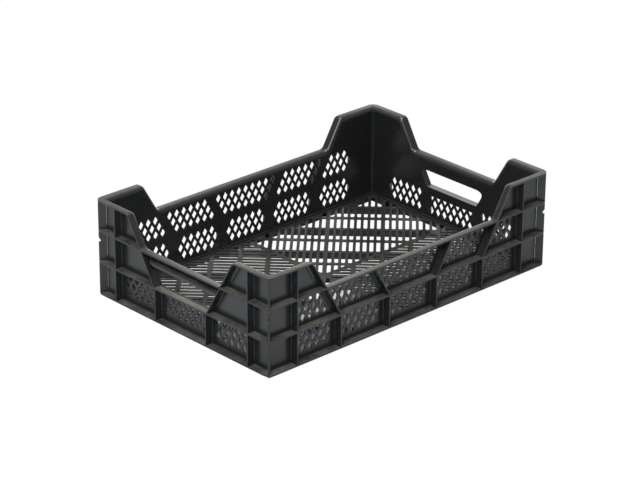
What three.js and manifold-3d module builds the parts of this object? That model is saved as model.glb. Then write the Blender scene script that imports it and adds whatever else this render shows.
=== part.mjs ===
// Vented stacking crate for produce: one injection-moulded body with an open top, four raised
// corners, diamond vents in the walls, a slotted floor and a hand hole in each end.
// Units are millimetres, +Z is up, and the origin is on the ground under the crate's centre.
// The moulding has no separate pieces, so its nodes are its natural zones: wall panels, flanges,
// ribs, corner columns and floor panels. They meet face to face on flat planes.

import * as THREE from 'three';
import { mergeVertices } from 'three/addons/utils/BufferGeometryUtils.js';
import Module from 'manifold-3d';

const wasm = await Module();
wasm.setup();

// Driving dimensions: the outside.
const halfLength = 300;
const halfWidth = 200;
const rimTop = 168;
const cornerRadius = 13;
const footHeight = 8;

// Section thicknesses. The wall's outer face is ribDepth inside the envelope.
const ribThickness = 2.5;
const wallThickness = 2;
const ribDepth = 13;
const finThickness = 3.5;

// Heights of the three flanges' upper faces, and of the floor.
const baseFlangeTop = footHeight + ribThickness;
const bandFlangeTop = 65;
const topFlangeTop = 118;
const floorTop = 13;
const floorThickness = 2.5;

// Vent lattice: diamonds on staggered rows. The braces and the raised corners' slopes lean with it.
const ventPitch = 14.625;
const ventRowPitch = 12.5;
const ventHalfWidth = 5.3125;
const ventHalfHeight = 8.375;
const lowerVentMiddle = 39.5;
const upperVentMiddle = 90;
const lean = ventPitch / 2 / ventRowPitch;

// Ribs of the long walls and of the end walls: distances from the middle of the wall.
const longWall = { half: halfLength, post: 241.5, lowerRibs: [51, 152.5], braces: [51, 152.5] };
const endWall = { half: halfWidth, post: 152.5, lowerRibs: [58.5], braces: [61] };

// Hand hole in each end wall, with its bottom on the band flange.
const handHoleHalfBottom = 56;
const handHoleTop = 95;
const handHoleRadius = 11;

// Thick lip over the hand hole, which the fingers curl round.
const gripHeight = 8.3;
const gripDepth = 7.7;

// Floor: slots along the diagonal of each quarter, over a lattice of deep ribs.
const cell = 91;
const slotsPerCell = 8;
const slotPitch = 11.1;
const slotWidth = 6.2;
const crossBar = 6;
const middleBarHalf = 3.25;
const floorBorder = 5;
const smallestSlotArea = 45;
const smallestCellArea = 150;
const shortestEdge = 0.6;
const innerHalfLength = halfLength - ribDepth - wallThickness;
const innerHalfWidth = halfWidth - ribDepth - wallThickness;

const plastic = { color: 0x2c2e30, roughness: 0.48, metalness: 0 };

const crate = new THREE.Group();

function addNode(name, geometry) {
  const mesh = new THREE.Mesh(geometry, new THREE.MeshStandardMaterial(plastic));
  mesh.name = name;
  crate.add(mesh);
}

// ---- Plates: an outline in one plane, thickened between two values of the third axis ----------

const xAxis = new THREE.Vector3(1, 0, 0);
const yAxis = new THREE.Vector3(0, 1, 0);
const zAxis = new THREE.Vector3(0, 0, 1);

function asShape(outline) {
  return outline instanceof THREE.Shape ? outline : new THREE.Shape(outline);
}

function extrude(outline, depth) {
  return new THREE.ExtrudeGeometry(asShape(outline), { depth, bevelEnabled: false });
}

// Outline in X and Y, between two heights.
function flatPlate(outline, za, zb) {
  return extrude(outline, Math.abs(zb - za)).translate(0, 0, Math.min(za, zb));
}

// Outline in X and Z, between two values of Y.
function longPlate(outline, ya, yb) {
  const turn = new THREE.Matrix4().makeBasis(xAxis, zAxis, yAxis.clone().negate());
  return extrude(outline, Math.abs(yb - ya)).applyMatrix4(turn).translate(0, Math.max(ya, yb), 0);
}

// Outline in Y and Z, between two values of X.
function endPlate(outline, xa, xb) {
  const turn = new THREE.Matrix4().makeBasis(yAxis, zAxis, xAxis);
  return extrude(outline, Math.abs(xb - xa)).applyMatrix4(turn).translate(Math.min(xa, xb), 0, 0);
}

function rectangle(a0, b0, a1, b1) {
  return [[a0, b0], [a1, b0], [a1, b1], [a0, b1]].map(([a, b]) => new THREE.Vector2(a, b));
}

function box(x0, y0, z0, x1, y1, z1) {
  const outline = rectangle(Math.min(x0, x1), Math.min(y0, y1), Math.max(x0, x1), Math.max(y0, y1));
  return flatPlate(outline, z0, z1);
}

// ---- Joining and cutting -----------------------------------------------------------------------

function toSolid(geometry) {
  const bare = geometry.clone();
  bare.deleteAttribute('normal');
  bare.deleteAttribute('uv');
  const merged = mergeVertices(bare);
  const vertProperties = new Float32Array(merged.attributes.position.array);
  const triVerts = new Uint32Array(merged.index.array);
  return new wasm.Manifold(new wasm.Mesh({ numProp: 3, vertProperties, triVerts }));
}

function toGeometry(solid) {
  const mesh = solid.getMesh();
  const geometry = new THREE.BufferGeometry();
  geometry.setAttribute('position', new THREE.BufferAttribute(mesh.vertProperties, 3));
  geometry.setIndex(new THREE.BufferAttribute(mesh.triVerts, 1));
  return geometry;
}

function join(geometries) {
  return geometries.map(toSolid).reduce((whole, piece) => whole.add(piece));
}

// A plate of one of the three kinds above with openings cut right through it.
function perforatedPlate(plate, outline, a, b, openings) {
  const low = Math.min(a, b) - 1;
  const high = Math.max(a, b) + 1;
  const cutters = openings.map((points) => plate(points, low, high));
  return toGeometry(toSolid(plate(outline, a, b)).subtract(join(cutters)));
}

// ---- Convex polygons: clipping a vent or a slot to the panel it is in --------------------------

// Keeps the side of the line where a * x + b * y <= c.
function clip(points, a, b, c) {
  const kept = [];
  points.forEach((p, i) => {
    const q = points[(i + 1) % points.length];
    const dp = a * p.x + b * p.y - c;
    const dq = a * q.x + b * q.y - c;
    if (dp <= 0) kept.push(p.clone());
    if (dp * dq < 0) kept.push(p.clone().lerp(q, dp / (dp - dq)));
  });
  return kept;
}

// Drops a corner that is nearly on the next one, so that no edge is a sliver.
function withoutShortEdges(points) {
  return points.filter((p, i) => p.distanceTo(points[(i + 1) % points.length]) > shortestEdge);
}

function clipToBox(points, x0, y0, x1, y1) {
  const kept = clip(clip(clip(clip(points, 1, 0, x1), -1, 0, -x0), 0, 1, y1), 0, -1, -y0);
  return withoutShortEdges(kept);
}

function area(points) {
  return points.length < 3 ? 0 : Math.abs(THREE.ShapeUtils.area(points));
}

// ---- Vents -------------------------------------------------------------------------------------

function diamond(x, z) {
  const corners = [[0, -ventHalfHeight], [ventHalfWidth, 0], [0, ventHalfHeight], [-ventHalfWidth, 0]];
  return corners.map(([dx, dz]) => new THREE.Vector2(x + dx, z + dz));
}

// A row of diamonds from first to last, both counted in half pitches from the wall's middle.
function ventRow(first, last, z) {
  const row = [];
  for (let n = first; n <= last; n += 2) row.push(diamond(n * ventPitch / 2, z));
  return row;
}

// Three rows round a middle height. Each row is [first, last] in half pitches, lowest row first.
function ventPanel(rows, middle) {
  return rows.flatMap(([first, last], i) => ventRow(first, last, middle + (i - 1) * ventRowPitch));
}

function bothSides(rows) {
  return [rows, rows.map(([first, last]) => [-last, -first])];
}

function longWallVents() {
  const lower = [[[-4, 4], [-5, 5], [-4, 4]], ...bothSides([[10, 18], [9, 19], [10, 18]]),
    ...bothSides([[24, 30], [23, 31], [24, 30]])];
  const upper = [[[-6, 6], [-7, 7], [-8, 8]], ...bothSides([[10, 20], [11, 21], [12, 22]]),
    ...bothSides([[24, 30], [25, 31], [26, 30]])];
  return [...lower.flatMap((rows) => ventPanel(rows, lowerVentMiddle)),
    ...upper.flatMap((rows) => ventPanel(rows, upperVentMiddle))];
}

// Under the hand hole the top row is cut in half, which leaves a solid lip under the hole.
function endWallVents() {
  const side = bothSides([[10, 18], [11, 19], [10, 18]]);
  const lip = lowerVentMiddle + ventRowPitch;
  const middle = ventPanel([[-6, 6], [-5, 5], [-6, 6]], lowerVentMiddle);
  return [...side.flatMap((rows) => ventPanel(rows, lowerVentMiddle)),
    ...middle.map((points) => clip(points, 0, 1, lip))];
}

// Hand hole: sides lean with the braces, and the upper corners are round.
function handHole() {
  const sideTop = handHoleTop - handHoleRadius;
  const halfTop = handHoleHalfBottom + lean * (sideTop - bandFlangeTop);
  const peak = halfTop + lean * handHoleRadius;
  const roundEnd = halfTop - handHoleRadius / 2;
  const path = new THREE.Path();
  path.moveTo(-handHoleHalfBottom, bandFlangeTop);
  path.lineTo(handHoleHalfBottom, bandFlangeTop);
  path.lineTo(halfTop, sideTop);
  path.quadraticCurveTo(peak, handHoleTop, roundEnd, handHoleTop);
  path.lineTo(-roundEnd, handHoleTop);
  path.quadraticCurveTo(-peak, handHoleTop, -halfTop, sideTop);
  return path.getPoints(5);
}

// ---- Walls, flanges, ribs and braces -----------------------------------------------------------

// A side knows where its planes are and how to lay an outline along itself.
const sides = [
  { name: 'front', wall: longWall, sign: -1, outer: halfWidth, plate: longPlate },
  { name: 'back', wall: longWall, sign: 1, outer: halfWidth, plate: longPlate },
  { name: 'left', wall: endWall, sign: -1, outer: halfLength, plate: endPlate },
  { name: 'right', wall: endWall, sign: 1, outer: halfLength, plate: endPlate },
];

function ribPlate(side, outline) {
  return side.plate(outline, side.sign * (side.outer - ribDepth), side.sign * side.outer);
}

function addPanel(side) {
  const half = side.wall.post - ribThickness / 2;
  const openings = side.wall === longWall ? longWallVents() : [...endWallVents(), handHole()];
  const wallOuter = side.sign * (side.outer - ribDepth);
  const wallInner = wallOuter - side.sign * wallThickness;
  const outline = rectangle(-half, 0, half, topFlangeTop);
  addNode(`${side.name}_wall_panel`, perforatedPlate(side.plate, outline, wallInner, wallOuter, openings));
}

function addFlanges(side) {
  const half = side.wall.post - ribThickness / 2;
  const levels = { base_flange: baseFlangeTop, band_flange: bandFlangeTop, top_flange: topFlangeTop };
  for (const [name, top] of Object.entries(levels)) {
    addNode(`${side.name}_${name}`, ribPlate(side, rectangle(-half, top - ribThickness, half, top)));
  }
}

// Horizontal half thickness of a leaning brace.
const braceHalf = ribThickness / 2 * Math.hypot(1, lean);

function brace(foot, sign) {
  const top = topFlangeTop - ribThickness;
  const head = foot + lean * (top - bandFlangeTop);
  const corners = [[foot - braceHalf, bandFlangeTop], [foot + braceHalf, bandFlangeTop],
    [head + braceHalf, top], [head - braceHalf, top]];
  return corners.map(([a, z]) => new THREE.Vector2(sign * a, z));
}

function addRibs(side) {
  for (const sign of [-1, 1]) {
    const hand = sign < 0 ? 'a' : 'b';
    side.wall.lowerRibs.forEach((at, i) => {
      const middle = sign * at;
      const outline = rectangle(middle - ribThickness / 2, baseFlangeTop, middle + ribThickness / 2,
        bandFlangeTop - ribThickness);
      addNode(`${side.name}_lower_rib_${hand}${i + 1}`, ribPlate(side, outline));
    });
    side.wall.braces.forEach((foot, i) => {
      addNode(`${side.name}_brace_${hand}${i + 1}`, ribPlate(side, brace(foot, sign)));
    });
  }
}

// The lip over each hand hole. It stops just short of the braces.
function addGripLip(side) {
  const clearance = 0.3;
  const half = side.wall.braces[0] + lean * (handHoleTop - bandFlangeTop) - braceHalf - clearance;
  const outline = rectangle(-half, handHoleTop, half, handHoleTop + gripHeight);
  const wallOuter = side.outer - ribDepth;
  const lip = side.plate(outline, side.sign * wallOuter, side.sign * (wallOuter + gripDepth));
  addNode(`${side.name}_grip_lip`, lip);
}

// ---- Corner columns ----------------------------------------------------------------------------

// Where a slope starts and ends, from the wall's middle. It carries on the inner face of the last brace.
function slopeFoot(wall) {
  const foot = wall.braces[wall.braces.length - 1];
  return foot - braceHalf + lean * (topFlangeTop - bandFlangeTop);
}

function slopeHead(wall) {
  return slopeFoot(wall) + lean * (rimTop - topFlangeTop);
}

// L-shaped flange round a corner: legs start at x0 and y0, and the outer corner is round.
function cornerL(sx, sy, x0, y0, inset) {
  const shape = new THREE.Shape();
  const centreX = sx * (halfLength - cornerRadius);
  const centreY = sy * (halfWidth - cornerRadius);
  const start = Math.atan2(sy, 0);
  const end = Math.atan2(0, sx);
  shape.moveTo(sx * x0, sy * (halfWidth - inset));
  shape.lineTo(sx * x0, sy * halfWidth);
  shape.lineTo(centreX, sy * halfWidth);
  const steps = 6;
  for (let i = 1; i <= steps; i += 1) {
    const angle = sx < 0 && sy < 0 ? start - i / steps * Math.PI / 2 : start + i / steps * (end - start);
    shape.lineTo(centreX + cornerRadius * Math.cos(angle), centreY + cornerRadius * Math.sin(angle));
  }
  shape.lineTo(sx * halfLength, sy * y0);
  shape.lineTo(sx * (halfLength - inset), sy * y0);
  shape.lineTo(sx * (halfLength - inset), sy * (halfWidth - inset));
  return shape;
}

// The wall of a column seen square on: a leg down to the ground and a wing under the slope.
function wingOutline(wall, sign, legEnd) {
  const legStart = wall.post - ribThickness / 2;
  const corners = [[legStart, 0], [legEnd, 0], [legEnd, rimTop], [slopeHead(wall), rimTop],
    [slopeFoot(wall), topFlangeTop], [legStart, topFlangeTop]];
  return corners.map(([a, z]) => new THREE.Vector2(sign * a, z));
}

function slopeBand(wall, sign) {
  const run = 2 * braceHalf;
  const corners = [[slopeFoot(wall), topFlangeTop], [slopeFoot(wall) + run, topFlangeTop],
    [slopeHead(wall) + run, rimTop], [slopeHead(wall), rimTop]];
  return corners.map(([a, z]) => new THREE.Vector2(sign * a, z));
}

// A fin on the diagonal from the walls' corner out to the rounded edge, with a small notch in it.
function diagonalFin(sx, sy) {
  const inner = (ribDepth + wallThickness / 2) * Math.SQRT2;
  const outer = cornerRadius * (Math.SQRT2 - 1) + 0.3;
  const notch = { depth: 3, bottom: 96, top: 104 };
  const outline = [[-inner, footHeight], [-outer, footHeight], [-outer, notch.bottom],
    [-outer - notch.depth, notch.bottom], [-outer, notch.top], [-outer, rimTop - 1], [-inner, rimTop - 1]];
  const points = outline.map(([a, z]) => new THREE.Vector2(a, z));
  const fin = longPlate(points, -finThickness / 2, finThickness / 2);
  return fin.rotateZ(Math.atan2(sy, sx)).translate(sx * halfLength, sy * halfWidth, 0);
}

function cornerColumn(sx, sy) {
  const wallX = halfLength - ribDepth;
  const wallY = halfWidth - ribDepth;
  const postX = longWall.post - ribThickness / 2;
  const postY = endWall.post - ribThickness / 2;
  const fullInset = ribDepth + wallThickness;
  const under = rimTop - 1;
  const rim = cornerL(sx, sy, slopeHead(longWall), slopeHead(endWall), fullInset);
  const pieces = [
    longPlate(wingOutline(longWall, sx, wallX), sy * innerHalfWidth, sy * wallY),
    endPlate(wingOutline(endWall, sy, wallY), sx * innerHalfLength, sx * wallX),
    flatPlate(rim, rimTop - ribThickness, rimTop),
    longPlate(slopeBand(longWall, sx), sy * innerHalfWidth, sy * halfWidth),
    endPlate(slopeBand(endWall, sy), sx * innerHalfLength, sx * halfLength),
    box(sx * postX, sy * (wallY - 1), footHeight, sx * (postX + ribThickness), sy * halfWidth, under),
    box(sx * (wallX - 1), sy * postY, footHeight, sx * halfLength, sy * (postY + ribThickness), under),
    diagonalFin(sx, sy),
  ];
  for (const top of [baseFlangeTop, bandFlangeTop, topFlangeTop]) {
    pieces.push(flatPlate(cornerL(sx, sy, postX, postY, ribDepth + 1), top - ribThickness, top));
  }
  return toGeometry(join(pieces));
}

// ---- Floor -------------------------------------------------------------------------------------

// Rounds to a fine binary fraction, so that corners in a line at 45 degrees are exactly in line.
function snap(value) {
  return Math.round(value * 32) / 32;
}

// From a quarter's own axes, u along its diagonal and v across it, to X and Y.
function fromDiagonal(u, v, sx, sy) {
  const along = snap(u / Math.SQRT2);
  const across = snap(v / Math.SQRT2);
  return new THREE.Vector2(sx * (along - across), sy * (along + across));
}

function diagonalBox(u0, v0, u1, v1, sx, sy) {
  const corners = [[u0, v0], [u1, v0], [u1, v1], [u0, v1]];
  return corners.map(([u, v]) => fromDiagonal(u, v, sx, sy));
}

function slotsOfQuarter(sx, sy) {
  const xs = [sx * middleBarHalf, sx * (innerHalfLength - floorBorder)];
  const ys = [sy * middleBarHalf, sy * (innerHalfWidth - floorBorder)];
  const reach = Math.ceil((innerHalfLength + innerHalfWidth) / Math.SQRT2 / cell);
  const slots = [];
  for (let m = -reach; m < reach; m += 1) {
    for (let j = 0; j < slotsPerCell; j += 1) {
      const v = (m + 0.5) * cell + (j - (slotsPerCell - 1) / 2) * slotPitch;
      for (let u = 0; u < reach * cell; u += cell / 2) {
        const whole = diagonalBox(u + crossBar / 2, v - slotWidth / 2, u + cell / 2 - crossBar / 2,
          v + slotWidth / 2, sx, sy);
        const slot = clipToBox(whole, Math.min(...xs), Math.min(...ys), Math.max(...xs), Math.max(...ys));
        if (area(slot) > smallestSlotArea) slots.push(slot);
      }
    }
  }
  return slots;
}

function addFloorPanel(name, sx, sy) {
  const x1 = sx * innerHalfLength;
  const y1 = sy * innerHalfWidth;
  const outline = rectangle(Math.min(0, x1), Math.min(0, y1), Math.max(0, x1), Math.max(0, y1));
  const bottom = floorTop - floorThickness;
  addNode(name, perforatedPlate(flatPlate, outline, bottom, floorTop, slotsOfQuarter(sx, sy)));
}

// Deep ribs on both diagonals, inside a border that stands against the walls.
function addFloorRibs() {
  const border = 2;
  const x1 = innerHalfLength - border;
  const y1 = innerHalfWidth - border;
  const half = ribThickness / 2;
  const reach = Math.ceil((innerHalfLength + innerHalfWidth) / Math.SQRT2 / cell);
  const cells = [];
  for (let m = -reach; m < reach; m += 1) {
    for (let n = -reach; n < reach; n += 1) {
      const whole = diagonalBox(m * cell + half, n * cell + half, (m + 1) * cell - half,
        (n + 1) * cell - half, 1, 1);
      const opening = clipToBox(whole, -x1, -y1, x1, y1);
      if (area(opening) > smallestCellArea) cells.push(opening);
    }
  }
  const outline = rectangle(-innerHalfLength, -innerHalfWidth, innerHalfLength, innerHalfWidth);
  addNode('floor_ribs', perforatedPlate(flatPlate, outline, 0, floorTop - floorThickness, cells));
}

// ---- The crate ---------------------------------------------------------------------------------

for (const side of sides) {
  addPanel(side);
  addFlanges(side);
  addRibs(side);
  if (side.wall === endWall) addGripLip(side);
}

for (const [yName, sy] of [['front', -1], ['back', 1]]) {
  for (const [xName, sx] of [['left', -1], ['right', 1]]) {
    addNode(`corner_column_${yName}_${xName}`, cornerColumn(sx, sy));
    addFloorPanel(`floor_panel_${yName}_${xName}`, sx, sy);
  }
}

addFloorRibs();

export default crate;
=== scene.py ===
# %% [markdown]
# # A vented stacking crate in Blender
#
# The real crate is one shot of black polypropylene: thin walls pierced with diamond vents, flanges and
# ribs that stand out of the walls, four raised corners and a slotted floor. The CAD model holds its
# sizes. This script rebuilds every zone of the moulding as a finer mesh, with the small rounds and root
# fillets that a mould leaves, and gives it a moulded plastic finish.

# %% Load the frame
import math

import bpy
from mathutils import Matrix, Vector


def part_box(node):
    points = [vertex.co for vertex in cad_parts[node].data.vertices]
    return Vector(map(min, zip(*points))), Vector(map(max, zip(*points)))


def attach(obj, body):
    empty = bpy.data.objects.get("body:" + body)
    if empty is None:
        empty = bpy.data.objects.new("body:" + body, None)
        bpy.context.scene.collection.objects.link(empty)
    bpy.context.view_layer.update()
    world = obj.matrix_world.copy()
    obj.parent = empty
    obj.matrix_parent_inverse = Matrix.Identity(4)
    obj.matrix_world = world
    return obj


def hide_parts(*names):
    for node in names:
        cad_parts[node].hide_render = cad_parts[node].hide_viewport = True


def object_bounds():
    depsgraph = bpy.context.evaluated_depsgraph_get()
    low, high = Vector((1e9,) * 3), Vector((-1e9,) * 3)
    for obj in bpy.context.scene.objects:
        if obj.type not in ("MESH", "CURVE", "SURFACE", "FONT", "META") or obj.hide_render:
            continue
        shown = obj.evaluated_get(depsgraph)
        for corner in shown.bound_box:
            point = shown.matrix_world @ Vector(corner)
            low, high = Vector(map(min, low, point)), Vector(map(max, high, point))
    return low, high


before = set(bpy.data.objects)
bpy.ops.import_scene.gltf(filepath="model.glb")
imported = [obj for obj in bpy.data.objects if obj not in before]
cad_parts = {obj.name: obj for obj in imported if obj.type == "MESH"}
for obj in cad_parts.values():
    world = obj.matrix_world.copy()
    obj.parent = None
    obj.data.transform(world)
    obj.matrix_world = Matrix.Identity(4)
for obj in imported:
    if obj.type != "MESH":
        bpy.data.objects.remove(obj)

MM = 0.001
cad_low, cad_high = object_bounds()
print("CAD nodes:", len(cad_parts), "box:", [round(v, 4) for v in cad_high - cad_low])

# %% [markdown]
# ## Sizes from the frame
#
# The faces and levels are read off CAD nodes' boxes, so the pieces land where the CAD puts them. The
# wall panels give the wall's two faces, the flanges give the levels, and a brace gives the place
# where the slope to a raised corner starts. A box can't give a radius, the lattice of the vents, the
# hand hole or the slots, so those are written here. The vents are a little smaller than the CAD's.

# %% Driving sizes
HALF_X, HALF_Y, TOP = cad_high
WALL_IN_Y, WALL_OUT_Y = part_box("back_wall_panel")[0].y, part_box("back_wall_panel")[1].y
DEPTH = HALF_Y - WALL_OUT_Y
SKIN = WALL_OUT_Y - WALL_IN_Y
BASE_LOW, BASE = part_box("back_base_flange")[0].z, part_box("back_base_flange")[1].z
RIB = BASE - BASE_LOW
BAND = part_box("back_band_flange")[1].z
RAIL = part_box("back_top_flange")[1].z
FLOOR_LOW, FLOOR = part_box("floor_panel_back_left")[0].z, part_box("floor_panel_back_left")[1].z
RISE = TOP - RAIL
INNER_X, INNER_Y = HALF_X - DEPTH - SKIN, HALF_Y - DEPTH - SKIN
CORNER_RADIUS = 13 * MM
print("wall faces", WALL_IN_Y, WALL_OUT_Y, "levels", BASE, BAND, RAIL, TOP, "floor", FLOOR)

# %% Lattice of the vents, whose lean the braces and slopes share
PITCH = 14.625 * MM
ROW = 12.5 * MM
VENT_HALF_WIDTH = 4.9 * MM
VENT_HALF_HEIGHT = 7.7 * MM
LOWER_VENTS = 39.5 * MM
UPPER_VENTS = 90 * MM
LEAN = PITCH / 2 / ROW
BRACE_HALF = RIB / 2 * math.hypot(1, LEAN)
SLOPE_TURN = math.atan2(1, LEAN)
print("slope stands at", round(math.degrees(SLOPE_TURN), 1), "degrees")


# %% The four sides, each as a turn about Z of the side at the back
class Side:
    """Along a and outwards d are the side's own axes; turn lays them on X and Y."""

    def __init__(self, name, turn, outer, end, last_brace):
        self.name, self.turn, self.outer, self.end = name, math.radians(turn), outer, end
        self.along = Vector((math.cos(self.turn), math.sin(self.turn), 0))
        self.wall_out = outer - DEPTH
        self.wall_in = outer - DEPTH - SKIN
        low, high = self.span(f"{name}_{last_brace}")
        near = min(abs(low), abs(high))
        self.foot = near + LEAN * (RAIL - BAND)
        self.head = self.foot + LEAN * RISE
        self.post = self.span(f"{name}_base_flange")[1] + RIB / 2

    def span(self, node):
        """Where a CAD node starts and ends along this side."""
        ends = [self.along.dot(corner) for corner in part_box(node)]
        return min(ends), max(ends)


SIDES = [Side("back", 0, HALF_Y, HALF_X, "brace_b2"), Side("left", 90, HALF_X, HALF_Y, "brace_b1"),
         Side("front", 180, HALF_Y, HALF_X, "brace_b2"), Side("right", -90, HALF_X, HALF_Y, "brace_b1")]
BACK, LEFT = SIDES[0], SIDES[1]
for side in SIDES:
    print(side.name, "post", round(side.post, 5), "slope", round(side.foot, 5), round(side.head, 5))

# %% [markdown]
# ## Camera, floor and light
#
# A long lens from well back keeps the crate's edges almost parallel. The crate stands on a plain white
# floor. Near-black plastic shows mostly what it mirrors, so the lights are large and soft: a low card
# behind it for the level faces, a key softbox at the left front and a softbox overhead.

# %% Camera
CAMERA_AZIMUTH, CAMERA_ELEVATION, CAMERA_ROLL = map(math.radians, (-43.37, 24.255, 0.45))
CAMERA_DISTANCE = 4.44
CAMERA_AIM = (-6.4 * MM, 60.2 * MM, 8 * MM)
CAMERA_LENS = 157.7


def make_camera():
    back = Vector((math.sin(CAMERA_AZIMUTH) * math.cos(CAMERA_ELEVATION),
                   -math.cos(CAMERA_AZIMUTH) * math.cos(CAMERA_ELEVATION), math.sin(CAMERA_ELEVATION)))
    level = Vector((math.cos(CAMERA_AZIMUTH), math.sin(CAMERA_AZIMUTH), 0))
    upright = back.cross(level)
    right = level * math.cos(CAMERA_ROLL) + upright * math.sin(CAMERA_ROLL)
    up = upright * math.cos(CAMERA_ROLL) - level * math.sin(CAMERA_ROLL)
    camera = bpy.data.objects.new("camera", bpy.data.cameras.new("camera"))
    bpy.context.collection.objects.link(camera)
    camera.data.lens = CAMERA_LENS
    camera.data.clip_end = 100
    aside, above, lift = CAMERA_AIM
    place = right * aside + up * above + back * CAMERA_DISTANCE + Vector((0, 0, lift))
    basis = Matrix((right, up, back)).transposed()
    camera.matrix_world = Matrix.Translation(place) @ basis.to_4x4()
    bpy.context.scene.camera = camera
    return camera


print("camera at", [round(v, 3) for v in make_camera().matrix_world.translation])

# %% Deselect everything, then work on one object at a time


def only(piece):
    """Makes one object the selected and active one."""
    bpy.ops.object.select_all(action="DESELECT")
    piece.select_set(True)
    bpy.context.view_layer.objects.active = piece
    return piece


def settle(piece):
    """Puts an object's place and turn into its mesh."""
    only(piece)
    bpy.ops.object.transform_apply(location=True, rotation=True, scale=True)
    return piece


# %% Shader expressions
class Value:
    """A socket that can be used in sums: 1 - mask, mask * 0.5 and so on."""

    def __init__(self, tree, socket):
        self.tree, self.socket = tree, socket

    def math(self, operation, *values):
        return self.tree.node("ShaderNodeMath", {"operation": operation}, *values)

    def __add__(self, other):
        return self.math("ADD", self, other)

    def __sub__(self, other):
        return self.math("SUBTRACT", self, other)

    def __rsub__(self, other):
        return self.math("SUBTRACT", other, self)

    def __mul__(self, other):
        return self.math("MULTIPLY", self, other)

    __radd__, __rmul__ = __add__, __mul__


class Tree:
    """A new material and one method that adds any node to it."""

    def __init__(self, name):
        self.material = bpy.data.materials.new(name)
        self.material.use_nodes = True
        self.nodes, self.links = self.material.node_tree.nodes, self.material.node_tree.links
        self.nodes.clear()

    def node(self, kind, settings=None, *values, out=0, **named):
        node = self.nodes.new(kind)
        for key, value in (settings or {}).items():
            if key == "stops":
                while len(node.color_ramp.elements) < len(value):
                    node.color_ramp.elements.new(1)
                for element, (position, grey) in zip(node.color_ramp.elements, value):
                    element.position, element.color = position, (grey, grey, grey, 1)
            else:
                setattr(node, key, value)
        plugs = [*enumerate(values), *((key.replace("_", " "), value) for key, value in named.items())]
        for key, value in plugs:
            if isinstance(value, Value):
                self.links.new(value.socket, node.inputs[key])
            elif value is not None:
                node.inputs[key].default_value = value
        return Value(self, node.outputs[out]) if len(node.outputs) else node


# %% Floor
SHADE_X = (-0.250, -0.150)
SHADE_Y = (-0.110, 0.000)
FOOTPRINT_EDGE = 2 * MM
SHADE_DEPTH = 0.88
FLOOR_RADIUS = 14
FLOOR_GAP = 0.2 * MM
FLOOR_CARD = (0.56, 0.58, 0.62, 1)


def make_floor():
    """A white floor. Its shade near the front and left walls is painted, not cast by the lights."""
    bpy.ops.mesh.primitive_circle_add(vertices=96, radius=FLOOR_RADIUS, fill_type="NGON",
                                      location=(0, 0, -FLOOR_GAP))
    floor = settle(bpy.context.object)
    floor.name = "studio_floor"
    tree = Tree("studio_floor")
    place = tree.node("ShaderNodeTexCoord", None, out=3)
    split = tree.node("ShaderNodeSeparateXYZ", None, place)
    x, y = split, Value(tree, split.socket.node.outputs[1])

    def soft_step(value, start, stop):
        smooth = {"interpolation_type": "SMOOTHSTEP"}
        return tree.node("ShaderNodeMapRange", smooth, value, start, stop, 0.0, 1.0)

    far_from_walls = soft_step(x, *SHADE_X) * soft_step(y, *SHADE_Y)
    limit_x, limit_y = HALF_X - DEPTH, HALF_Y - DEPTH
    outside_x = soft_step(x.math("ABSOLUTE", x), limit_x, limit_x + FOOTPRINT_EDGE)
    outside_y = soft_step(y.math("ABSOLUTE", y), limit_y, limit_y + FOOTPRINT_EDGE)
    shade = (1 - far_from_walls) * (1 - outside_x) * (1 - outside_y) * SHADE_DEPTH
    card = tree.node("ShaderNodeBsdfDiffuse", None, Color=FLOOR_CARD)
    dark = tree.node("ShaderNodeEmission", None, Color=(0, 0, 0, 1), Strength=0.0)
    glow = tree.node("ShaderNodeEmission", None, Color=(1, 1, 1, 1), Strength=1.0)
    ground = tree.node("ShaderNodeMixShader", None, shade, glow, dark)
    seen = tree.node("ShaderNodeLightPath", None, out=0)
    both = tree.node("ShaderNodeMixShader", None, seen, card, ground)
    tree.node("ShaderNodeOutputMaterial", None, Surface=both)
    floor.data.materials.append(tree.material)


make_floor()

# %% Lights
WORLD_COLOUR = (1.0, 0.99, 0.95, 1)
WORLD_STRENGTH = 0.36


def area_light(name, place, target, size, watts, colour):
    """A softbox, a rectangle when size has two values. The camera doesn't see it, only its light."""
    light = bpy.data.objects.new(name, bpy.data.lights.new(name, "AREA"))
    bpy.context.collection.objects.link(light)
    light.data.shape = "RECTANGLE"
    light.data.size, light.data.size_y = size
    light.data.energy, light.data.color = watts, colour
    light.location = place
    light.rotation_euler = (Vector(target) - Vector(place)).to_track_quat("-Z", "Y").to_euler()
    light.visible_camera = False
    return light


def make_room():
    world = bpy.data.worlds.new("room")
    bpy.context.scene.world = world
    world.use_nodes = True
    background = world.node_tree.nodes["Background"]
    background.inputs["Color"].default_value = WORLD_COLOUR
    background.inputs["Strength"].default_value = WORLD_STRENGTH
    area_light("backdrop_card", place=(0.90, 0.95, 0.34), target=(0, 0, 0.34), size=(2.6, 0.62), watts=9,
               colour=(1.0, 0.99, 0.94))
    area_light("key_softbox", place=(-1.5, -0.9, 1.9), target=(0, 0, 0.05), size=(1.1, 1.1), watts=48,
               colour=(0.97, 0.985, 1.0))
    area_light("top_softbox", place=(0.1, 0.2, 2.0), target=(0, 0, 0), size=(1.2, 1.2), watts=42,
               colour=(1.0, 0.995, 0.93))
    bpy.context.scene.view_settings.view_transform = "Standard"


make_room()
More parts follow.
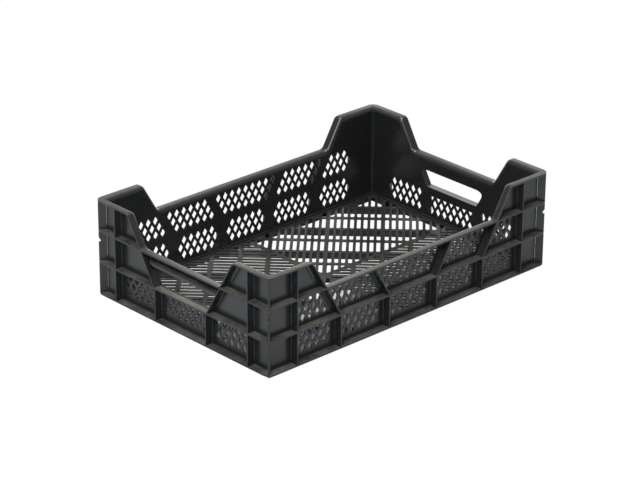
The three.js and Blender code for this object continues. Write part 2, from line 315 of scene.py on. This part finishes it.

# %% [markdown]
# ## The plastic
#
# Crates like this are moulded in black polypropylene. The skin is a satin one: a fine grain, shallow
# ripples where thick sections shrank, and faint upright streaks where the melt ran up the walls. Dust
# lies on level faces; rims are rubbed clean by stacking, while ledges are lighter, partly from a thick
# film of dust and partly from painted top light. So the recipe is made twice, with a different colour on
# level faces.

# %% Black moulded polypropylene
BLACK = (0.0125, 0.0132, 0.0142, 1)
RIM_DUST = (0.0260, 0.0268, 0.0235, 1)
# Level faces on ledges: partly dust, partly painted top light that makes them lighter than dust alone.
LEDGE_DUST_AND_TOP_LIGHT = (0.1250, 0.1280, 0.1080, 1)
LEVEL_STOPS = [(0.70, 0), (0.98, 1)]
PATCH_STOPS = [(0.34, 0.25), (0.68, 1)]
THINNEST_DUST = 0.45
ROUGHNESS = 0.17
GLOSS_CHANGE, STREAK_CHANGE, DUST_CHANGE = 0.08, 0.08, 0.12
STREAK_STRETCH = (1.0, 1.0, 0.03)


def moulded_plastic(name, dust_and_top_light_colour):
    tree = Tree(name)
    place = tree.node("ShaderNodeTexCoord", None, out=3)
    up = tree.node("ShaderNodeSeparateXYZ", None, tree.node("ShaderNodeNewGeometry", None, out=1), out=2)
    level = tree.node("ShaderNodeValToRGB", {"stops": LEVEL_STOPS}, up)
    clouds = tree.node("ShaderNodeTexNoise", None, place, Scale=30.0, Detail=5.0, Roughness=0.62)
    specks = tree.node("ShaderNodeTexNoise", None, place, Scale=520.0, Detail=2.0, Roughness=0.5)
    patches = tree.node("ShaderNodeValToRGB", {"stops": PATCH_STOPS}, clouds)
    # Mottled mask of level faces: dust, and in the ledge copy painted top light as well.
    dust_and_top_light = level * patches * (THINNEST_DUST + specks)
    colour = tree.node("ShaderNodeMix", {"data_type": "RGBA"}, dust_and_top_light, out=2)
    mix = colour.socket.node
    mix.inputs[6].default_value, mix.inputs[7].default_value = BLACK, dust_and_top_light_colour
    tall = tree.node("ShaderNodeMapping", None, place, Scale=STREAK_STRETCH)
    streaks = tree.node("ShaderNodeTexNoise", None, tall, Scale=420.0, Detail=2.0, Roughness=0.5)
    gloss = tree.node("ShaderNodeTexNoise", None, place, Scale=16.0, Detail=3.0, Roughness=0.55)
    roughness = ROUGHNESS + gloss * GLOSS_CHANGE + streaks * STREAK_CHANGE + dust_and_top_light * DUST_CHANGE
    ripple = tree.node("ShaderNodeTexNoise", None, place, Scale=24.0, Detail=1.0, Roughness=0.4)
    grain = tree.node("ShaderNodeTexNoise", None, place, Scale=1500.0, Detail=2.0, Roughness=0.5)
    wavy = tree.node("ShaderNodeBump", None, Strength=0.35, Distance=0.35 * MM, Height=ripple)
    lined = tree.node("ShaderNodeBump", None, Strength=0.25, Distance=0.12 * MM, Height=streaks, Normal=wavy)
    rough = tree.node("ShaderNodeBump", None, Strength=0.30, Distance=0.05 * MM, Height=grain, Normal=lined)
    skin = tree.node("ShaderNodeBsdfPrincipled", None, Base_Color=colour, Roughness=roughness, Normal=rough,
                     IOR=1.5)
    tree.node("ShaderNodeOutputMaterial", None, Surface=skin)
    return tree.material


PLASTIC = moulded_plastic("black_polypropylene", RIM_DUST)
# The ledge copy, used on flanges, grips and corners: its level faces carry painted top light as well as dust.
DUSTY_PLASTIC_WITH_TOP_LIGHT = moulded_plastic("black_polypropylene_dusty", LEDGE_DUST_AND_TOP_LIGHT)
print("materials", PLASTIC.name, DUSTY_PLASTIC_WITH_TOP_LIGHT.name, "with", len(PLASTIC.node_tree.nodes), "nodes each")

# %% [markdown]
# ## Finishing a piece
#
# Every piece ends in the same way: it is smoothed where faces meet at a small angle, takes the plastic,
# and rides on the crate's one body. Some pieces have their small edges broken first by a Bevel modifier.

# %% Finish
EDGE = 0.45 * MM
ROOT = 1.2 * MM
SMOOTH_ANGLE = math.radians(20)
SHARP_ANGLE = math.radians(40)
WELD = 0.002 * MM


def break_edges(piece, width=EDGE, segments=2):
    only(piece)
    bevel = piece.modifiers.new("broken_edges", "BEVEL")
    bevel.width, bevel.segments = width, segments
    bevel.limit_method, bevel.angle_limit = "ANGLE", SHARP_ANGLE
    bpy.ops.object.modifier_apply(modifier=bevel.name)
    return piece


def finish(piece, name, *nodes, skin=PLASTIC):
    only(piece)
    piece.name = piece.data.name = name
    bpy.ops.object.mode_set(mode="EDIT")
    bpy.ops.mesh.select_all(action="SELECT")
    bpy.ops.mesh.remove_doubles(threshold=WELD)
    bpy.ops.mesh.normals_make_consistent(inside=False)
    bpy.ops.object.mode_set(mode="OBJECT")
    bpy.ops.object.shade_smooth_by_angle(angle=SMOOTH_ANGLE)
    piece.data.materials.clear()
    piece.data.materials.append(skin)
    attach(piece, "root")
    if nodes:
        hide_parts(*nodes)
    piece.data.calc_loop_triangles()
    print(name, len(piece.data.loop_triangles), "triangles")
    return piece


def joined(pieces):
    bpy.ops.object.select_all(action="DESELECT")
    for piece in pieces:
        piece.select_set(True)
    bpy.context.view_layer.objects.active = pieces[0]
    bpy.ops.object.join()
    return bpy.context.object


# %% [markdown]
# ## Sheets and bars from a flat curve
#
# A pierced sheet could be cut with a hundred booleans, but a flat curve does it in one go: the first
# closed outline is the sheet, each outline inside it is an opening, Extrude gives the thickness and a
# small curve bevel rounds the rim of every opening, as the mould does. The same curve without a bevel
# makes a bar of any section.

# %% Flat curve to mesh


def sheet(outlines, thickness, edge=0.0):
    """Closed outlines in X and Y as a solid, centred on Z = 0. Outlines inside the first are openings."""
    curve = bpy.data.curves.new("sheet", "CURVE")
    curve.dimensions, curve.fill_mode = "2D", "BOTH"
    curve.extrude, curve.bevel_depth, curve.offset = thickness / 2 - edge, edge, -edge
    curve.bevel_resolution = 1
    for outline in outlines:
        spline = curve.splines.new("POLY")
        spline.points.add(len(outline) - 1)
        for point, (x, y) in zip(spline.points, outline):
            point.co = (x, y, 0, 1)
        spline.use_cyclic_u = True
    piece = bpy.data.objects.new("sheet", curve)
    bpy.context.collection.objects.link(piece)
    only(piece)
    bpy.ops.object.convert(target="MESH")
    return bpy.context.object


def rounded(points, radii, steps=3):
    """A convex outline whose corners are curves. The radius is one number, or one for each corner."""
    outline = []
    points = [Vector(p) for p in points]
    radii = radii if isinstance(radii, list) else [radii] * len(points)
    for i, corner in enumerate(points):
        before, after = points[i - 1] - corner, points[(i + 1) % len(points)] - corner
        reach = radii[i] / math.tan(max(before.angle(after) / 2, 0.2))
        start = corner + before.normalized() * min(reach, 0.45 * before.length)
        end = corner + after.normalized() * min(reach, 0.45 * after.length)
        for k in range(steps + 1):
            t = k / steps
            outline.append((1 - t) ** 2 * start + 2 * t * (1 - t) * corner + t * t * end)
    return outline


# %% [markdown]
# ## The slope to a raised corner
#
# The top line of a side is level, turns up the slope through a wide round at its foot, and turns level
# again through a tighter one at its head. Its points are worked out once, as stations with a lift and a
# tilt, so that the wall and the rim that sits on it follow the same line.

# %% Stations of the slope
FOOT_ROUND = 10 * MM
HEAD_ROUND = 8.5 * MM
SLOPE_STEPS = 4


def slope_stations(side):
    """Place along the side, lift, and tilt of the top line at each station."""
    stations = []
    for k in range(SLOPE_STEPS + 1):
        tilt = SLOPE_TURN * k / SLOPE_STEPS
        start = side.foot - FOOT_ROUND * math.tan(SLOPE_TURN / 2)
        stations.append((start + FOOT_ROUND * math.sin(tilt), FOOT_ROUND * (1 - math.cos(tilt)), tilt))
    for k in range(SLOPE_STEPS + 1):
        tilt = SLOPE_TURN * (1 - k / SLOPE_STEPS)
        end = side.head + HEAD_ROUND * math.tan(SLOPE_TURN / 2)
        stations.append((end - HEAD_ROUND * math.sin(tilt), RISE - HEAD_ROUND * (1 - math.cos(tilt)), tilt))
    return stations


def beneath(at, lift, tilt, under):
    """The point that lies square under a station, as place along the side and height."""
    return at + under * math.sin(tilt), RAIL + lift - under * math.cos(tilt)


for side in SIDES[:2]:
    print(side.name, "slope stations at", [round(at * 1000, 1) for at, lift, tilt in slope_stations(side)])

# %% [markdown]
# ## Walls
#
# Each wall is one sheet from the ground to the rim, with a raised wing at each end and the diamond
# vents in staggered rows. The rows are counted in half pitches from the middle of the wall, because
# the diamonds of one row stand over the gaps of the next.

# %% Vents
VENT_ROUND = 0.9 * MM
WALL_EDGE = 0.4 * MM


def vent(x, z):
    corners = [(0, -VENT_HALF_HEIGHT), (VENT_HALF_WIDTH, 0), (0, VENT_HALF_HEIGHT), (-VENT_HALF_WIDTH, 0)]
    return [(x + dx, z + dz) for dx, dz in corners]


def vent_panel(rows, middle):
    """Three rows of diamonds, each from its first to its last half pitch, lowest row first."""
    return [vent(n * PITCH / 2, middle + (i - 1) * ROW)
            for i, (first, last) in enumerate(rows) for n in range(first, last + 1, 2)]


def both_ways(rows):
    return [rows, [(-last, -first) for first, last in rows]]


def long_wall_vents():
    lower = [[(-4, 4), (-5, 5), (-4, 4)], *both_ways([(10, 18), (9, 19), (10, 18)]),
             *both_ways([(24, 30), (23, 31), (24, 30)])]
    upper = [[(-6, 6), (-7, 7), (-8, 8)], *both_ways([(10, 20), (11, 21), (12, 22)]),
             *both_ways([(24, 30), (25, 31), (26, 30)])]
    diamonds = [d for rows in lower for d in vent_panel(rows, LOWER_VENTS)]
    return diamonds + [d for rows in upper for d in vent_panel(rows, UPPER_VENTS)]


def end_wall_vents():
    """The top row under the hand hole is cut off level, which leaves a lip."""
    lip = LOWER_VENTS + ROW
    middle = vent_panel([(-6, 6), (-5, 5), (-6, 6)], LOWER_VENTS)
    middle = [clipped(d, (0, 1), lip) for d in middle]
    sides = both_ways([(10, 18), (11, 19), (10, 18)])
    return middle + [d for rows in sides for d in vent_panel(rows, LOWER_VENTS)]


def clipped(points, normal, limit):
    """The part of a convex outline where normal . point <= limit."""
    kept = []
    points = [Vector(p) for p in points]
    normal = Vector(normal)
    for i, p in enumerate(points):
        q = points[(i + 1) % len(points)]
        dp, dq = normal.dot(p) - limit, normal.dot(q) - limit
        if dp <= 0:
            kept.append(p)
        if dp * dq < 0:
            kept.append(p.lerp(q, dp / (dp - dq)))
    return kept


print(len(long_wall_vents()), "vents in a long wall,", len(end_wall_vents()), "in an end wall")

# %% Hand hole
HOLE_HALF = 56 * MM
HOLE_TOP = 95 * MM
HOLE_RADIUS = 11 * MM
HOLE_FLOOR_RADIUS = 3 * MM


def hand_hole():
    low = BAND + ROOT
    bottom = HOLE_HALF + LEAN * ROOT
    top = HOLE_HALF + LEAN * (HOLE_TOP - BAND)
    corners = [(-bottom, low), (bottom, low), (top, HOLE_TOP), (-top, HOLE_TOP)]
    return rounded(corners, [HOLE_FLOOR_RADIUS, HOLE_FLOOR_RADIUS, HOLE_RADIUS, HOLE_RADIUS], steps=6)


# %% Wall sheets
UNDER_RIM = 6.8 * MM
WALL_END_GAP = 0.1 * MM
FOOT_CUT = 9 * MM


def wall_outline(side):
    """From the foot, which is cut back at the corners, to a fixed depth under the rim's top line."""
    end = side.end - DEPTH - WALL_END_GAP
    climb = [beneath(*station, UNDER_RIM) for station in reversed(slope_stations(side))]
    half = [(end - FOOT_CUT, 0), (end, BASE_LOW), (end, TOP - UNDER_RIM), *climb]
    return half + [(-a, z) for a, z in reversed(half)]


def make_wall(side, openings):
    openings = [rounded(points, VENT_ROUND) for points in openings]
    if side.outer == HALF_X:
        openings.append(hand_hole())
    wall = sheet([wall_outline(side), *openings], SKIN, WALL_EDGE)
    wall.rotation_euler = (math.radians(90), 0, 0)
    wall.location.y = (side.wall_in + side.wall_out) / 2
    settle(wall)
    wall.rotation_euler.z = side.turn
    settle(wall)
    return finish(wall, f"{side.name}_wall", f"{side.name}_wall_panel")


for side in SIDES:
    make_wall(side, end_wall_vents() if side.outer == HALF_X else long_wall_vents())

# %% [markdown]
# ## Flanges
#
# A flange runs all round the crate. It starts as a block, and Inset steps its upper and lower faces
# inwards: the first step is the flange itself, the next ones climb a small arc, which is the fillet
# at the wall, and the last one ends inside the wall. The two inner faces then go, Bridge closes the
# ring, and the outer corners are beveled round.

# %% Ring
FILLET_STEPS = 3
ROUND_STEPS = 6
NEAR = 0.01 * MM


def fillet_steps(at):
    """Inset and rise of each step of a fillet that ends on a wall at that inset, and one step more."""
    steps = [(at - ROOT, 0.0)]
    for k in range(1, FILLET_STEPS + 1):
        angle = math.pi / 2 * k / FILLET_STEPS
        steps.append((at - ROOT + ROOT * math.sin(angle), ROOT * (1 - math.cos(angle))))
    return steps + [(at + SKIN / 2, ROOT)]


def pick_faces(piece, test):
    """Selects the faces whose centre and normal pass a test, in face mode."""
    only(piece)
    bpy.ops.object.mode_set(mode="EDIT")
    bpy.ops.mesh.select_mode(type="FACE")
    bpy.ops.mesh.select_all(action="DESELECT")
    bpy.ops.object.mode_set(mode="OBJECT")
    for face in piece.data.polygons:
        face.select = test(face.center, face.normal)
    bpy.ops.object.mode_set(mode="EDIT")


def pick_edges(piece, test):
    """Selects the edges whose two ends pass a test, in edge mode."""
    only(piece)
    bpy.ops.object.mode_set(mode="EDIT")
    bpy.ops.mesh.select_mode(type="EDGE")
    bpy.ops.mesh.select_all(action="DESELECT")
    bpy.ops.object.mode_set(mode="OBJECT")
    points = piece.data.vertices
    for edge in piece.data.edges:
        edge.select = test(points[edge.vertices[0]].co, points[edge.vertices[1]].co)
    bpy.ops.object.mode_set(mode="EDIT")


def step_in(steps):
    """Insets the selected face along a list of (inset, rise) measured from its outer edge."""
    inset, rise = 0.0, 0.0
    for next_inset, next_rise in steps:
        bpy.ops.mesh.inset(thickness=next_inset - inset, depth=next_rise - rise)
        inset, rise = next_inset, next_rise


def ring(low, high, upper_steps, lower_steps, half_x=HALF_X, half_y=HALF_Y, radius=CORNER_RADIUS):
    bpy.ops.object.select_all(action="DESELECT")
    bpy.ops.mesh.primitive_cube_add(size=1, location=(0, 0, (low + high) / 2))
    piece = bpy.context.object
    piece.scale = (2 * half_x, 2 * half_y, high - low)
    settle(piece)
    for sign, steps in ((1, upper_steps), (-1, lower_steps)):
        pick_faces(piece, lambda centre, normal: normal.z * sign > 0.9)
        step_in(steps)
        bpy.ops.object.mode_set(mode="OBJECT")
    pick_faces(piece, lambda centre, normal: abs(normal.z) > 0.9 and centre.xy.length < 1 * MM)
    bpy.ops.mesh.bridge_edge_loops()
    bpy.ops.object.mode_set(mode="OBJECT")

    def at_corner(p):
        return abs(abs(p.x) - half_x) < NEAR and abs(abs(p.y) - half_y) < NEAR

    pick_edges(piece, lambda p, q: at_corner(p) and at_corner(q) and abs(p.z - q.z) > 0.1 * MM)
    bpy.ops.mesh.bevel(offset=radius, segments=ROUND_STEPS, affect="EDGES", clamp_overlap=False)
    bpy.ops.object.mode_set(mode="OBJECT")
    return piece


def make_flange(name, top):
    steps = fillet_steps(DEPTH)
    piece = break_edges(ring(top - RIB, top, steps, steps))
    return finish(piece, f"{name}_ring", *(f"{side.name}_{name}" for side in SIDES), skin=DUSTY_PLASTIC_WITH_TOP_LIGHT)


make_flange("base_flange", BASE)
make_flange("band_flange", BAND)

# %% [markdown]
# ## Rim
#
# At the top the wall rolls outwards into the flange, so the rim is flat outside and turns down into the
# inner face through a wide round, which is kind to hands and produce. It is made level as a ring, cut
# across at the stations of each slope, and each station is then lifted. On the slope the underside has
# to stay one thickness away, square to the slope, so its points move sideways as well as up.

# %% Section of the roll
ROLL = 6.5 * MM
ROLL_STEPS = 6
WRAP = 0.06 * MM
RIM_DEPTH = 7.4 * MM


def roll_steps(centre, radius, out, sign, last):
    """Inset and rise of a quarter round about a centre inset, which turns down by the radius."""
    steps = [(centre, 0.0)]
    for k in range(1, ROLL_STEPS + 1):
        angle = math.pi / 2 * k / ROLL_STEPS
        steps.append((centre + (out - centre) * math.sin(angle), sign * radius * (1 - math.cos(angle))))
    return steps + [(out + 0.1 * WRAP, sign * last)]


def cut_across(piece, axis, at):
    only(piece)
    bpy.ops.object.mode_set(mode="EDIT")
    bpy.ops.mesh.select_all(action="SELECT")
    normal = Vector((0, 0, 0))
    normal[axis] = 1
    bpy.ops.mesh.bisect(plane_co=normal * at, plane_no=normal)
    bpy.ops.object.mode_set(mode="OBJECT")


def lift_station(piece, axis, at, lift, tilt):
    """Moves a station's points up, and each point square to the tilted top line by its own depth."""
    for point in piece.data.vertices:
        other = point.co[1 - axis]
        if abs(abs(point.co[axis]) - at) > NEAR or abs(other) < (INNER_Y, INNER_X)[axis] - SKIN:
            continue
        along, height = beneath(at, lift, tilt, RAIL - point.co.z)
        point.co[axis] = math.copysign(along, point.co[axis])
        point.co.z = height


# %% The rim
PAST_HEAD = 8 * MM


def make_rim():
    centre = DEPTH + SKIN - ROLL
    upper = roll_steps(centre, ROLL, DEPTH + SKIN + WRAP, -1, RIM_DEPTH)
    lower = roll_steps(centre, ROLL - RIB, DEPTH - WRAP, 1, RIM_DEPTH - RIB)
    piece = ring(RAIL - RIB, RAIL, upper, lower)
    for side, axis in ((BACK, 0), (LEFT, 1)):
        for at, lift, tilt in slope_stations(side):
            for sign in (-1, 1):
                cut_across(piece, axis, sign * at)
    for side, axis in ((BACK, 0), (LEFT, 1)):
        for at, lift, tilt in reversed(slope_stations(side)):
            lift_station(piece, axis, at, lift, tilt)
    for point in piece.data.vertices:
        x, y, z = point.co
        if abs(x) > BACK.head + PAST_HEAD and abs(y) > LEFT.head + PAST_HEAD and z < RAIL + NEAR:
            point.co.z += RISE
    break_edges(piece)
    return finish(piece, "top_rim", *(f"{side.name}_top_flange" for side in SIDES))


make_rim()

# %% [markdown]
# ## Ribs and braces
#
# A rib is a bar of one section: thin at its tip, a little thicker at the wall, with a fillet at each
# side of its root. The section is drawn flat, as seen from above, and extruded up the wall. A brace is
# the same bar with its upper end moved along the wall.

# %% Rib section
TIP_GAP = 0.15 * MM
TIP_ROUND = 0.6 * MM
RIB_DRAFT = 0.2 * MM
INTO = 0.3 * MM


def rib_section(middle, half, wall_out, outer, stretch=1.0):
    """Outline of a rib seen from above: root inside the wall, two root fillets, rounded tip."""
    tip = outer - TIP_GAP
    right = [(half + ROOT * stretch, wall_out - INTO)]
    for k in range(FILLET_STEPS + 1):
        angle = math.pi / 2 * k / FILLET_STEPS
        right.append((half + ROOT * stretch * (1 - math.sin(angle)), wall_out + ROOT * (1 - math.cos(angle))))
    thin = half - RIB_DRAFT
    for k in range(4):
        angle = math.pi / 2 * k / 3
        right.append((thin - TIP_ROUND * (1 - math.cos(angle)), tip - TIP_ROUND * (1 - math.sin(angle))))
    return [(middle + x, y) for x, y in right] + [(middle - x, y) for x, y in reversed(right)]


def upright_bar(section, low, high):
    bar = sheet([section], high - low)
    bar.location.z = (low + high) / 2
    return settle(bar)


def turned(piece, side):
    piece.rotation_euler.z = side.turn
    return settle(piece)


def make_rib(side, node):
    low, high = side.span(node)
    section = rib_section((low + high) / 2, RIB / 2, side.wall_out, side.outer)
    bar = upright_bar(section, BASE - INTO, BAND - RIB + INTO)
    return finish(turned(bar, side), f"{node}_moulded", node)


def make_brace(side, node):
    low, high = side.span(node)
    sign = 1 if low > 0 else -1
    foot = (low if sign > 0 else high) + sign * BRACE_HALF
    stretch = BRACE_HALF / (RIB / 2)
    bar = upright_bar(rib_section(foot, BRACE_HALF, side.wall_out, side.outer, stretch), BAND, RAIL - RIB)
    for point in bar.data.vertices:
        climb = point.co.z - BAND
        more = INTO if climb > RIB else -INTO
        point.co.z += more
        point.co.x += sign * LEAN * (climb + more)
    return finish(turned(bar, side), f"{node}_moulded", node)


for side in SIDES:
    for node in sorted(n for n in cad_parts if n.startswith(f"{side.name}_lower_rib")):
        make_rib(side, node)
    for node in sorted(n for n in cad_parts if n.startswith(f"{side.name}_brace")):
        make_brace(side, node)

# %% [markdown]
# ## Grip
#
# The fingers curl round a thick lip over each hand hole. Its section is a block with two well rounded
# outer corners, drawn on its side and extruded along the wall, and a Bevel modifier rounds its ends.

# %% Lip over each hand hole
LIP_ROUND = 2.8 * MM
LIP_END_ROUND = 2.2 * MM


def make_grip(side):
    node = f"{side.name}_grip_lip"
    low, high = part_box(node)
    start, stop = side.span(node)
    out = side.wall_out + min(high.x - low.x, high.y - low.y)
    corners = [(low.z, side.wall_out - INTO), (high.z, side.wall_out - INTO), (high.z, out), (low.z, out)]
    section = rounded(corners, [0.1 * MM, 0.1 * MM, LIP_ROUND, LIP_ROUND], steps=5)
    bar = sheet([section], stop - start)
    bar.matrix_world = Matrix(((0, 0, 1, 0), (0, 1, 0, 0), (1, 0, 0, 0), (0, 0, 0, 1)))
    settle(bar)
    break_edges(bar, LIP_END_ROUND, 4)
    return finish(turned(bar, side), f"{side.name}_grip_moulded", node, skin=DUSTY_PLASTIC_WITH_TOP_LIGHT)


for side in (s for s in SIDES if s.outer == HALF_X):
    make_grip(side)

# %% [markdown]
# ## Corners
#
# A corner has a post on each of its two walls, a fin on the diagonal, and a shelf at rail height that
# carries on the level of the side rails. The posts are ribs again, and the shelf is a flange ring cut
# down to one corner. One corner is modelled and three copies are mirrored from it.

# %% Corner pieces
NOTCH_LOW, NOTCH_HIGH, NOTCH_DEPTH = 96 * MM, 104 * MM, 3 * MM
FIN_HALF = 1.75 * MM
FIN_EDGE = 0.6 * MM
UNDER_FLANGE = 2.3 * MM
INNER_ROUND = 5 * MM
NOTCH_FALL = 0.3 * MM
ABOVE_FOOT = 0.2 * MM
SHELF_START = 0.5 * MM


def corner_shelf(start_x, start_y):
    steps = fillet_steps(DEPTH)
    piece = ring(RAIL - RIB, RAIL, steps, steps)
    only(piece)
    bpy.ops.object.mode_set(mode="EDIT")
    for axis, start in ((0, start_x), (1, start_y)):
        bpy.ops.mesh.select_all(action="SELECT")
        normal = Vector((0, 0, 0))
        normal[axis] = 1
        bpy.ops.mesh.bisect(plane_co=normal * start, plane_no=normal, use_fill=True, clear_inner=True)
    bpy.ops.object.mode_set(mode="OBJECT")
    return break_edges(piece)


def corner_post(side, sign):
    section = rib_section(sign * side.post, RIB / 2, side.wall_out, side.outer)
    return turned(upright_bar(section, BASE_LOW + ABOVE_FOOT, TOP - UNDER_FLANGE), side)


def corner_fin():
    root = DEPTH * math.sqrt(2)
    tip = CORNER_RADIUS * (math.sqrt(2) - 1) + TIP_GAP
    low, high = BASE_LOW + ABOVE_FOOT, TOP - UNDER_FLANGE
    outline = [(-root, low), (-tip, low), (-tip, NOTCH_LOW), (-tip - NOTCH_DEPTH, NOTCH_LOW + NOTCH_FALL),
               (-tip - NOTCH_DEPTH, NOTCH_LOW + NOTCH_DEPTH), (-tip, NOTCH_HIGH), (-tip, high), (-root, high)]
    fin = sheet([outline], 2 * FIN_HALF, FIN_EDGE)
    fin.rotation_euler = (math.radians(90), 0, math.radians(45))
    fin.location = (HALF_X, HALF_Y, 0)
    return settle(fin)


def corner_cove():
    """The round where two walls meet inside."""
    outline = []
    for k in range(ROUND_STEPS + 1):
        angle = math.pi / 2 * k / ROUND_STEPS
        outline.append((INNER_X - INNER_ROUND * (1 - math.cos(angle)),
                        INNER_Y - INNER_ROUND * (1 - math.sin(angle))))
    outline += [(INNER_X - INNER_ROUND, INNER_Y + INTO), (INNER_X + INTO, INNER_Y + INTO),
                (INNER_X + INTO, INNER_Y - INNER_ROUND)]
    return upright_bar(outline, BASE_LOW / 4, TOP - ROLL)


def make_corner():
    start_x, start_y = BACK.foot + SHELF_START, LEFT.foot + SHELF_START
    right = next(s for s in SIDES if s.name == "right")
    posts = [corner_post(BACK, 1), corner_post(right, -1)]
    return joined([corner_shelf(start_x, start_y), *posts, corner_fin(), corner_cove()])


def mirrored(piece, sx, sy):
    copy = piece.copy()
    copy.data = piece.data.copy()
    bpy.context.collection.objects.link(copy)
    copy.scale = (sx, sy, 1)
    return settle(copy)


pattern = make_corner()
for y_name, sy in (("front", -1), ("back", 1)):
    for x_name, sx in (("left", -1), ("right", 1)):
        name = f"{y_name}_{x_name}"
        finish(mirrored(pattern, sx, sy), f"corner_{name}", f"corner_column_{name}", skin=DUSTY_PLASTIC_WITH_TOP_LIGHT)
bpy.data.objects.remove(pattern)

# %% [markdown]
# ## Floor
#
# The floor's slots follow the diagonal of each quarter, eight to a cell of the deep ribs below, and
# each slot is broken in the middle of its cell by a cross bar.

# %% Slots
CELL = 91 * MM
SLOTS_PER_CELL = 8
SLOT_PITCH = 11.1 * MM
SLOT_WIDTH = 6.2 * MM
CROSS_BAR = 6.4 * MM
MIDDLE_BAR_HALF = 3.25 * MM
FLOOR_BORDER = 5 * MM
SLOT_ROUND = 2.2 * MM
SMALLEST_SLOT = 45 * MM * MM
SMALLEST_CELL = 150 * MM * MM
SHORTEST_EDGE = 0.6 * MM
FLOOR_EDGE = 0.4 * MM
CELL_BORDER = 2 * MM


def area(points):
    return abs(sum(points[i - 1].cross(p) for i, p in enumerate(points))) / 2 if len(points) > 2 else 0


def diagonal_box(u0, v0, u1, v1, sx, sy):
    corners = [(u0, v0), (u1, v0), (u1, v1), (u0, v1)]
    return [Vector((sx * (u - v), sy * (u + v))) / math.sqrt(2) for u, v in corners]


def boxed(points, low, high):
    """A convex outline clipped to a box, without its shortest edges."""
    for normal, limit in (((1, 0), high[0]), ((-1, 0), -low[0]), ((0, 1), high[1]), ((0, -1), -low[1])):
        points = clipped(points, normal, limit)
    return [p for i, p in enumerate(points) if (points[(i + 1) % len(points)] - p).length > SHORTEST_EDGE]


REACH = math.ceil((INNER_X + INNER_Y) / math.sqrt(2) / CELL)


def quarter_slots(sx, sy):
    xs = sorted((sx * MIDDLE_BAR_HALF, sx * (INNER_X - FLOOR_BORDER)))
    ys = sorted((sy * MIDDLE_BAR_HALF, sy * (INNER_Y - FLOOR_BORDER)))
    slots = []
    for row in range(-REACH * SLOTS_PER_CELL, REACH * SLOTS_PER_CELL):
        m, j = divmod(row, SLOTS_PER_CELL)
        v = (m + 0.5) * CELL + (j - (SLOTS_PER_CELL - 1) / 2) * SLOT_PITCH
        for k in range(2 * REACH):
            u = k * CELL / 2
            whole = diagonal_box(u + CROSS_BAR / 2, v - SLOT_WIDTH / 2, u + CELL / 2 - CROSS_BAR / 2,
                                 v + SLOT_WIDTH / 2, sx, sy)
            slot = boxed(whole, (xs[0], ys[0]), (xs[1], ys[1]))
            if area(slot) > SMALLEST_SLOT:
                slots.append(slot)
    return slots


def box_outline(x0, y0, x1, y1):
    x0, x1 = sorted((x0, x1))
    y0, y1 = sorted((y0, y1))
    return [(x0, y0), (x1, y0), (x1, y1), (x0, y1)]


def make_floor_panel(y_name, x_name, sx, sy):
    slots = [rounded(slot, SLOT_ROUND) for slot in quarter_slots(sx, sy)]
    outline = box_outline(0, 0, sx * (INNER_X + SKIN / 2), sy * (INNER_Y + SKIN / 2))
    panel = sheet([outline, *slots], FLOOR - FLOOR_LOW, FLOOR_EDGE)
    panel.location.z = (FLOOR + FLOOR_LOW) / 2
    node = f"floor_panel_{y_name}_{x_name}"
    return finish(settle(panel), f"{node}_moulded", node)


for y_name, sy in (("front", -1), ("back", 1)):
    for x_name, sx in (("left", -1), ("right", 1)):
        make_floor_panel(y_name, x_name, sx, sy)

# %% Deep ribs under the floor


def rib_cells():
    cells = []
    for m in range(-REACH, REACH):
        for n in range(-REACH, REACH):
            whole = diagonal_box(m * CELL + RIB / 2, n * CELL + RIB / 2, (m + 1) * CELL - RIB / 2,
                                 (n + 1) * CELL - RIB / 2, 1, 1)
            far_x, far_y = INNER_X - CELL_BORDER, INNER_Y - CELL_BORDER
            cell = boxed(whole, (-far_x, -far_y), (far_x, far_y))
            if area(cell) > SMALLEST_CELL:
                cells.append(cell)
    return cells


def make_floor_ribs():
    cells = [rounded(cell, ROOT) for cell in rib_cells()]
    outline = box_outline(-INNER_X - SKIN / 4, -INNER_Y - SKIN / 4, INNER_X + SKIN / 4, INNER_Y + SKIN / 4)
    ribs = sheet([outline, *cells], FLOOR_LOW + INTO, FLOOR_EDGE)
    ribs.location.z = (FLOOR_LOW + INTO) / 2
    return finish(settle(ribs), "floor_ribs_moulded", "floor_ribs")


make_floor_ribs()

# %% Ledge where the floor meets the walls
LEDGE_WIDTH = 3.2 * MM
LEDGE_RISE = 2.2 * MM
LEDGE_ROUND = 0.9 * MM
LEDGE_SINK = 0.5 * MM


def make_ledge():
    steps = [(LEDGE_WIDTH + INTO, 0.0)]
    piece = ring(FLOOR - LEDGE_SINK, FLOOR + LEDGE_RISE, steps, steps, INNER_X + INTO, INNER_Y + INTO,
                 INNER_ROUND)
    break_edges(piece, LEDGE_ROUND, 3)
    return finish(piece, "floor_ledge")


make_ledge()
